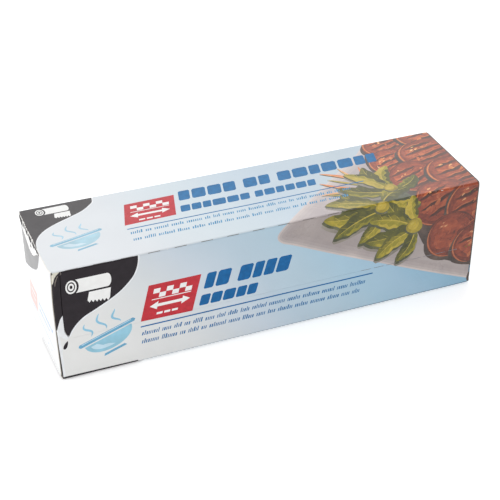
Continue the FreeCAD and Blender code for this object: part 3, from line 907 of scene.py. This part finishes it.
# wear: 1 on a crest of a crease, 0 at 1.5 mm from it
u_, q_ = co2[:, 0], co2[:, 1]
wear = np.zeros(nv)
for qf, top_wear in ((Q0, 0.75), (Q1, 0.62), (Q2, 0.8)):
    wear = np.maximum(wear, top_wear - np.abs(q_ - qf) / 1.8)
on_top = (q_ > Q1 + SIDE - 0.1) & (q_ < Q2 - SIDE + 0.1)
for flat, k, spread in ((XL, 1.3, 1.15), (XR, 0.7, 1.6)):
    wear = np.where(on_top, np.maximum(wear, k - np.abs(u_ - flat) / spread), wear)
    wear = np.where(~on_top & (q_ > Q0) & (q_ < Q3), np.maximum(wear, 0.45 - np.abs(u_ - (flat + (GAP if flat < 0 else -GAP))) / 1.5), wear)
wear = np.clip(wear, 0, 1.2)
att = mesh.attributes.new("wear", "FLOAT", "POINT")
att.data.foreach_set("value", np.concatenate([wear, wear * 0]).astype(np.float32))

# shading normals straight from the folded form, so that the print's triangles don't show
k = 0.03
cu3, cq3 = pu.mean(1, keepdims=True), pq.mean(1, keepdims=True)
su, sq = (pu + (cu3 - pu) * k).ravel(), (pq + (cq3 - pq) * k).ravel()
n_out = sheet_normal(su, sq, np.zeros(len(su)))
flat_n = np.cross(outer[tri[:, 1]] - outer[tri[:, 0]], outer[tri[:, 2]] - outer[tri[:, 0]])
flat_n /= np.maximum(np.linalg.norm(flat_n, axis=1, keepdims=True), 1e-12)
sign = np.sign((n_out.reshape(-1, 3, 3).mean(1) * flat_n).sum(1))
print("sheet: %d triangles, %d corners, rim %d, outward %.3f" % (nt, nv, len(rim_q), float(np.mean(sign > 0))))
normals = np.zeros((nt * 6 + len(rim_q) * 4, 3))
normals[:nt * 3] = n_out
n_in = -sheet_normal(su, sq, np.full(len(su), T))
normals[nt * 3:nt * 6] = n_in.reshape(-1, 3, 3)[:, ::-1].reshape(-1, 3)
mesh.normals_split_custom_set([tuple(v) for v in normals])
carton = bpy.data.objects.new("carton", mesh)
bpy.context.scene.collection.objects.link(carton)


# ---- inks and boards -------------------------------------------------------------------------------
def lin(c):
    return tuple(((v / 255) / 12.92 if v / 255 <= 0.04045 else ((v / 255 + 0.055) / 1.055) ** 2.4) for v in c) + (1.0,)


class Nodes:
    def __init__(self, name):
        self.mat = bpy.data.materials.new(name)
        self.mat.use_nodes = True
        self.nt = self.mat.node_tree
        self.nt.nodes.clear()
        self.out = self.add("ShaderNodeOutputMaterial")
        self.bsdf = self.add("ShaderNodeBsdfPrincipled")
        self.nt.links.new(self.bsdf.outputs[0], self.out.inputs[0])
        self.pos = self.add("ShaderNodeTexCoord").outputs["Object"]

    def add(self, kind, **kw):
        n = self.nt.nodes.new(kind)
        for k, v in kw.items():
            setattr(n, k, v)
        return n

    def link(self, a, b):
        self.nt.links.new(a, b)

    def noise(self, scale, detail=2.0, rough=0.5, stretch=None, dist=0.0):
        n = self.add("ShaderNodeTexNoise")
        n.inputs["Scale"].default_value = scale
        n.inputs["Detail"].default_value = detail
        n.inputs["Roughness"].default_value = rough
        n.inputs["Distortion"].default_value = dist
        src = self.pos
        if stretch:
            m = self.add("ShaderNodeMapping")
            m.inputs["Scale"].default_value = stretch[:3]
            if len(stretch) > 3:
                m.inputs["Rotation"].default_value = stretch[3]
            self.link(src, m.inputs["Vector"])
            src = m.outputs[0]
        self.link(src, n.inputs["Vector"])
        return n.outputs["Fac"]

    def remap(self, v, a, b, c=0.0, d=1.0):
        n = self.add("ShaderNodeMapRange")
        n.clamp = True
        self.link(v, n.inputs["Value"])
        for k, x in zip(("From Min", "From Max", "To Min", "To Max"), (a, b, c, d)):
            n.inputs[k].default_value = x
        return n.outputs[0]

    def math(self, op, a, b=None):
        n = self.add("ShaderNodeMath", operation=op)
        for i, v in enumerate((a, b)):
            if v is None:
                continue
            if isinstance(v, (int, float)):
                n.inputs[i].default_value = v
            else:
                self.link(v, n.inputs[i])
        return n.outputs[0]

    def mix(self, fac, a, b, mode="MIX"):
        n = self.add("ShaderNodeMix", data_type="RGBA", blend_type=mode)
        for key, v in ((0, fac), (6, a), (7, b)):
            if isinstance(v, (int, float)):
                n.inputs[key].default_value = v
            elif isinstance(v, tuple):
                n.inputs[key].default_value = v
            else:
                self.link(v, n.inputs[key])
        return n.outputs[2]

    def ramp(self, v, stops, interp="LINEAR"):
        n = self.add("ShaderNodeValToRGB")
        cr = n.color_ramp
        cr.interpolation = interp
        while len(cr.elements) > 1:
            cr.elements.remove(cr.elements[-1])
        cr.elements[0].position, cr.elements[0].color = stops[0][0], stops[0][1]
        for p, c in stops[1:]:
            e = cr.elements.new(p)
            e.color = c
        self.link(v, n.inputs[0])
        return n.outputs[0]

    def axis(self, weights):
        """A weighted sum of the coordinates, in mm."""
        s = self.add("ShaderNodeSeparateXYZ")
        self.link(self.pos, s.inputs[0])
        total = None
        for i, w in enumerate(weights):
            if w:
                t = self.math("MULTIPLY", s.outputs[i], w * 1000.0)
                total = t if total is None else self.math("ADD", total, t)
        return total


PAPER = lin((234, 232, 227))


def finish(m, color, rough=0.33, worn=True, bump=0.25, spec=0.5, coat=0.0):
    """The shared surface: worn creases show the paper, a thin varnish with a faint uneven gloss."""
    if worn:
        a = m.add("ShaderNodeAttribute", attribute_name="wear")
        w = m.math("ADD", m.math("MULTIPLY", a.outputs["Fac"], 0.62), m.noise(620.0, 3.0, 0.6))
        w2 = m.math("ADD", w, m.math("MULTIPLY", m.noise(75.0, 1.0), 0.55))
        color = m.mix(m.remap(w2, 1.27, 1.37), color, PAPER)
    m.link(color, m.bsdf.inputs["Base Color"])
    m.link(m.remap(m.noise(45.0, 3.0), 0.3, 0.7, rough - 0.04, rough + 0.05), m.bsdf.inputs["Roughness"])
    m.bsdf.inputs["Specular IOR Level"].default_value = spec
    if coat:
        m.bsdf.inputs["Coat Weight"].default_value = coat
        m.bsdf.inputs["Coat Roughness"].default_value = 0.22
    b = m.add("ShaderNodeBump")
    b.inputs["Strength"].default_value = bump
    b.inputs["Distance"].default_value = 0.00005
    m.link(m.noise(1500.0, 2.0), b.inputs["Height"])
    m.link(b.outputs[0], m.bsdf.inputs["Normal"])
    return m.mat


def plain(name, rgb, amount=0.06, scale=260.0, rough=0.33, worn=True, spec=0.5, coat=0.0):
    """One ink: its solid tone, slightly uneven where the board took it up."""
    m = Nodes(name)
    c = lin(rgb)
    lo = tuple(max(0.0, v * (1 - amount)) for v in c[:3]) + (1.0,)
    hi = tuple(min(1.0, v * (1 + amount) + amount * 0.01) for v in c[:3]) + (1.0,)
    col = m.mix(m.remap(m.noise(scale, 3.0), 0.3, 0.7), lo, hi)
    return finish(m, col, rough, worn, spec=spec, coat=coat)


def board(name, weights, lo, hi, stops, cloud=0.03):
    """A board panel with its printed fade along the given direction."""
    m = Nodes(name)
    v = m.axis(weights)
    v = m.math("ADD", v, m.math("MULTIPLY", m.math("SUBTRACT", m.noise(14.0, 2.0), 0.5), 26.0))
    t = m.remap(v, lo, hi)
    col = m.ramp(t, [(p, lin(c)) for p, c in stops])
    grey = m.remap(m.noise(36.0, 3.0), 0.3, 0.7, 1.0 - cloud, 1.0)
    n = m.add("ShaderNodeCombineColor")
    for i in range(3):
        m.link(grey, n.inputs[i])
    col = m.mix(1.0, col, n.outputs[0], "MULTIPLY")
    return finish(m, col)


def picture(name, dark, mid, light, scale=120.0, rough=0.3, stretch=None, fine=700.0, front=None, top=(1.0, 1.0, 1.0)):
    """A printed motif with its own tones: a soft mottle, finer grain over it; with front and top given, painted darker
    on the front panel than on the top, as painted shade on the front and painted light on the top.
    """
    m = Nodes(name)
    a = m.noise(scale, 4.0, 0.6, stretch, 0.6)
    col = m.ramp(m.remap(a, 0.28, 0.72), [(0.0, lin(dark)), (0.5, lin(mid)), (1.0, lin(light))])
    g = m.noise(fine, 2.0)
    col = m.mix(m.remap(g, 0.35, 0.7, 0.0, 0.22), col, lin(light))
    if front:
        up = m.remap(m.axis((0, 0, 1)), H - 2.4, H - 1.2)
        col = m.mix(1.0, col, m.mix(up, front + (1.0,), top + (1.0,)), "MULTIPLY")
    return finish(m, col, rough)


# the roast and green inks: painted shade on the front panel, painted light on the top
def roast_ink(*a, **kw):
    return picture(*a, front=(0.70, 0.56, 0.43), top=(1.11, 0.93, 0.57), **kw)


def green_ink(*a, **kw):
    return picture(*a, front=(0.93, 0.81, 0.27), top=(0.99, 0.86, 0.33), **kw)


FRONT_STOPS = [(0.0, (226, 226, 224)), (0.2, (220, 222, 222)), (0.31, (208, 214, 218)), (0.42, (198, 209, 219)), (0.54, (181, 200, 213)),
               (0.65, (175, 198, 212)), (0.77, (163, 194, 212)), (0.88, (156, 188, 209)), (1.0, (132, 174, 198))]
TOP_STOPS = [(0.0, (222, 225, 228)), (0.18, (217, 221, 225)), (0.35, (205, 216, 222)), (0.55, (190, 205, 217)), (0.75, (188, 202, 211)), (1.0, (182, 197, 210))]
BACK_STOPS = [(0.0, (232, 232, 230)), (0.35, (222, 227, 230)), (0.7, (199, 216, 228)), (1.0, (172, 202, 220))]

make = {
    "board_front": lambda: board("board_front", (1, 0, 0.9), -110, 150, FRONT_STOPS),
    "board_top": lambda: board("board_top", (1, 0.25, 0), -155, 150, TOP_STOPS),
    "board_end": lambda: board("board_end", (0, 1, 0.6), -40, 90, [(0.0, (226, 226, 225)), (0.5, (223, 224, 225)), (1.0, (218, 221, 224))]),
    "board_right": lambda: board("board_right", (0, 0.6, 1), -20, 100, [(0.0, (160, 190, 208)), (1.0, (190, 208, 220))]),
    "board_rear": lambda: board("board_rear", (1, 0, -0.4), -155, 150, BACK_STOPS),
    "board_bottom": lambda: board("board_bottom", (1, 0.4, 0), -155, 150, BACK_STOPS),
    "black": lambda: plain("black", (29, 21, 28), 0.16, 200.0, 0.34, spec=0.22),
    # the same black ink, painted lighter on the top panel and lighter still on the end: painted sheen of the light on
    # those faces
    "black_top": lambda: plain("black_top", (46, 40, 43), 0.16, 200.0, 0.36, spec=0.53),
    "black_end": lambda: plain("black_end", (52, 51, 53), 0.2, 160.0, 0.4, spec=0.5, coat=0.5),
    "black_jag": lambda: plain("black_jag", (44, 42, 44), 0.2, 400.0, 0.6, worn=False, spec=0.2),
    # a pale mottled band under the left end's crease
    "scuffed": lambda: picture("scuffed", (150, 148, 146), (232, 231, 228), (240, 240, 238), 420.0),
    # painted shade along the right and bottom-front creases, in a dark blue-grey
    "deep_blue": lambda: plain("deep_blue", (78, 108, 128), 0.12, 300.0),
    # the white of the keylines, and the painted highlight along the front's left fold
    "key_white": lambda: plain("key_white", (228, 230, 232)),
    "white_ink": lambda: plain("white_ink", (236, 236, 234), 0.03),
    "blue": lambda: plain("blue", (0, 94, 153), 0.14, 300.0, spec=0.2),
    # the top's blue inks are the front's blues painted lighter, as painted light on the top panel
    "blue_top": lambda: plain("blue_top", (0, 106, 162), 0.14, 300.0, spec=0.25),
    "blue_fine": lambda: plain("blue_fine", (10, 100, 156), 0.14, 300.0, spec=0.25),
    "blue_fine_top": lambda: plain("blue_fine_top", (48, 135, 181), 0.14, 300.0, spec=0.4),
    "red": lambda: plain("red", (188, 24, 40), 0.12, 300.0, spec=0.35),
    # the end's red and blue print, painted pale as painted light washing it out
    "red_faint": lambda: plain("red_faint", (224, 178, 172), 0.05),
    "blue_faint": lambda: plain("blue_faint", (160, 182, 216), 0.05),
    "sky_light": lambda: plain("sky_light", (190, 218, 232), 0.06, 120.0),
    "sky_mid": lambda: plain("sky_mid", (140, 192, 212), 0.10, 120.0),
    "sky_deep": lambda: plain("sky_deep", (94, 160, 194), 0.10, 120.0),
    "sky_line": lambda: plain("sky_line", (132, 188, 214), 0.08, 120.0),
    # the bowl's inks on the top panel, painted lighter: painted light on the top
    "sky_light_top": lambda: plain("sky_light_top", (204, 222, 232), 0.06, 120.0),
    "sky_mid_top": lambda: plain("sky_mid_top", (167, 203, 217), 0.10, 120.0),
    "sky_deep_top": lambda: plain("sky_deep_top", (127, 179, 203), 0.10, 120.0),
    "sky_line_top": lambda: plain("sky_line_top", (164, 202, 220), 0.08, 120.0),
    "plate_rim": lambda: picture("plate_rim", (178, 169, 168), (193, 180, 175), (206, 192, 187), 30.0),
    "plate_lip": lambda: picture("plate_lip", (160, 152, 152), (172, 162, 159), (186, 174, 170), 30.0),
    "plate_slope": lambda: picture("plate_slope", (151, 142, 142), (163, 152, 150), (177, 165, 162), 30.0),
    "plate_well": lambda: picture("plate_well", (146, 136, 135), (158, 147, 145), (171, 160, 158), 30.0),
    "plate": lambda: picture("plate", (145, 135, 133), (159, 148, 145), (172, 162, 160), 24.0),
    # the plate's tones on the top panel, painted lighter: painted light on the top
    "plate_rim_top": lambda: picture("plate_rim_top", (196, 190, 192), (206, 194, 191), (213, 203, 200), 30.0),
    "plate_lip_top": lambda: picture("plate_lip_top", (188, 180, 181), (198, 187, 184), (206, 197, 194), 30.0),
    "plate_slope_top": lambda: picture("plate_slope_top", (180, 172, 174), (191, 180, 178), (200, 191, 189), 30.0),
    "plate_well_top": lambda: picture("plate_well_top", (173, 165, 168), (185, 174, 173), (196, 187, 186), 30.0),
    "plate_top": lambda: picture("plate_top", (166, 158, 162), (180, 169, 169), (192, 182, 182), 24.0),
    "plate_shade": lambda: picture("plate_shade", (112, 106, 96), (132, 124, 113), (150, 142, 131), 60.0),
    # printed shadows in the picture, and painted shade along the right end's creases
    "shade": lambda: picture("shade", (36, 30, 28), (62, 48, 42), (96, 78, 68), 60.0),
    "bed_green": lambda: picture("bed_green", (52, 56, 42), (80, 84, 62), (112, 112, 84), 70.0),
    "shade_green": lambda: picture("shade_green", (40, 46, 26), (66, 70, 42), (100, 100, 68), 90.0),
    "roast": lambda: roast_ink("roast", (99, 42, 30), (141, 64, 45), (176, 92, 64), 150.0, stretch=(1, 1.4, 1.4)),
    "roast_warm": lambda: roast_ink("roast_warm", (118, 50, 35), (159, 75, 50), (197, 111, 76), 130.0, stretch=(1, 1.4, 1.4)),
    "roast_deep": lambda: roast_ink("roast_deep", (82, 33, 25), (122, 52, 38), (156, 78, 54), 170.0),
    "roast_shine": lambda: roast_ink("roast_shine", (214, 150, 108), (230, 178, 136), (240, 204, 170), 200.0),
    "roast_edge": lambda: roast_ink("roast_edge", (82, 35, 27), (120, 52, 39), (151, 77, 54), 130.0),
    "roast_rim": lambda: roast_ink("roast_rim", (57, 28, 22), (92, 42, 32), (124, 63, 45), 120.0),
    "roast_dark": lambda: roast_ink("roast_dark", (38, 21, 18), (67, 35, 29), (103, 56, 42), 200.0),
    "roast_light": lambda: roast_ink("roast_light", (168, 89, 59), (193, 115, 77), (214, 144, 102), 160.0),
    "roast_pale": lambda: roast_ink("roast_pale", (157, 77, 55), (181, 99, 72), (204, 130, 99), 160.0),
    "leaf_a": lambda: green_ink("leaf_a", (105, 109, 28), (138, 138, 43), (177, 167, 74), 110.0),
    "leaf_a_low": lambda: green_ink("leaf_a_low", (81, 88, 22), (113, 114, 34), (146, 140, 57), 110.0),
    "leaf_b": lambda: green_ink("leaf_b", (70, 79, 22), (99, 105, 33), (136, 134, 55), 110.0),
    "leaf_b_low": lambda: green_ink("leaf_b_low", (47, 55, 17), (72, 79, 26), (103, 105, 41), 110.0),
    "leaf_c": lambda: green_ink("leaf_c", (151, 145, 67), (177, 167, 89), (200, 186, 117), 110.0),
    "leaf_vein": lambda: green_ink("leaf_vein", (167, 158, 86), (186, 175, 107), (204, 190, 129), 130.0),
    "olive": lambda: green_ink("olive", (112, 106, 34), (150, 140, 54), (184, 170, 84), 130.0),
    "olive_light": lambda: green_ink("olive_light", (148, 138, 60), (180, 166, 84), (206, 192, 118), 130.0),
    "orange": lambda: picture("orange", (196, 96, 40), (220, 126, 62), (234, 156, 92), 150.0),
    "orange_pale": lambda: picture("orange_pale", (212, 142, 90), (228, 166, 116), (238, 194, 152), 150.0),
    # colours of the knife cuts: painted shade in the cuts; the grey one also stands for the bare cut edge
    "cut_line": lambda: plain("cut_line", (116, 112, 108), 0.2, 700.0, 0.7, worn=False, spec=0.2),
    "cut_dark": lambda: plain("cut_dark", (14, 9, 13), 0.1, 700.0, 0.8, worn=False, spec=0.1),
    "bare": lambda: plain("bare", (214, 210, 196), 0.12, 420.0, 0.7, worn=False, spec=0.2),
    "bare_grey": lambda: plain("bare_grey", (120, 112, 106), 0.2, 420.0, 0.7, worn=False, spec=0.2),
    # painted shade in the knife cuts
    "cut_soft": lambda: plain("cut_soft", (112, 104, 102), 0.2, 700.0, 0.7, worn=False, spec=0.2),
    "tear_ink": lambda: plain("tear_ink", (136, 134, 138), 0.2, 700.0, 0.6, worn=False, spec=0.2),
    "raw_board": lambda: plain("raw_board", (198, 192, 180), 0.12, 500.0, 0.85, worn=False, spec=0.15),
}
for name in mats_used:
    mesh.materials.append(make[name]())
mesh.update()

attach(carton, "root")
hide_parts("foil_carton")

# ---- floor, light, camera ------------------------------------------------------------------------------
bpy.ops.mesh.primitive_circle_add(vertices=96, radius=4.0, fill_type="NGON", location=(0, 0, -0.0004))
floor = bpy.context.object
floor.name = "floor"
m = Nodes("floor_pale")
col = m.mix(m.remap(m.noise(3.0, 2.0), 0.3, 0.7), lin((238, 238, 238)), lin((243, 243, 243)))
m.link(col, m.bsdf.inputs["Base Color"])
m.bsdf.inputs["Roughness"].default_value = 0.9
m.bsdf.inputs["Specular IOR Level"].default_value = 0.1
m.link(col, m.bsdf.inputs["Emission Color"])
m.bsdf.inputs["Emission Strength"].default_value = 0.45
floor.data.materials.append(m.mat)
floor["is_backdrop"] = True

world = bpy.data.worlds.new("studio")
bpy.context.scene.world = world
world.use_nodes = True
bg = world.node_tree.nodes["Background"]
bg.inputs[0].default_value = (0.985, 0.99, 1.0, 1.0)
bg.inputs[1].default_value = 0.72


def softbox(name, at, target, size, watts, color=(1, 1, 1)):
    d = bpy.data.lights.new(name, "AREA")
    d.shape = "RECTANGLE"
    d.size, d.size_y = size
    d.energy = watts
    d.color = color
    o = bpy.data.objects.new(name, d)
    bpy.context.scene.collection.objects.link(o)
    o.location = at
    o.rotation_euler = (Vector(target) - Vector(at)).to_track_quat("-Z", "Y").to_euler()
    return o


softbox("softbox_left", (-1.5, 0.25, 0.75), (0, 0, 0.04), (1.1, 1.1), 9.5)
softbox("softbox_top", (0.15, 0.1, 1.6), (0, 0, 0.0), (1.4, 1.0), 3.0)
softbox("softbox_back", (0.62, 1.5, 1.1), (0, 0, 0.06), (1.6, 1.4), 8.5)

cam_data = bpy.data.cameras.new("camera")
cam_data.sensor_width = 36.0
cam_data.sensor_fit = "HORIZONTAL"
cam_data.lens = 88.904
cam_data.clip_start, cam_data.clip_end = 0.05, 20.0
cam = bpy.data.objects.new("camera", cam_data)
bpy.context.scene.collection.objects.link(cam)
right = Vector((0.92519811, -0.37932514, 0.01099489))
down = Vector((-0.20195214, -0.51669034, -0.83201347))
ahead = Vector((0.32128458, 0.76755686, -0.55464646))
mat = Matrix.Identity(4)
for i in range(3):
    mat[i][0], mat[i][1], mat[i][2] = right[i], -down[i], -ahead[i]
mat.translation = Vector((-0.28505, -0.67403, 0.52967))
cam.matrix_world = mat
bpy.context.scene.camera = cam
bpy.context.scene.view_settings.view_transform = "Standard"

lo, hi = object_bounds()
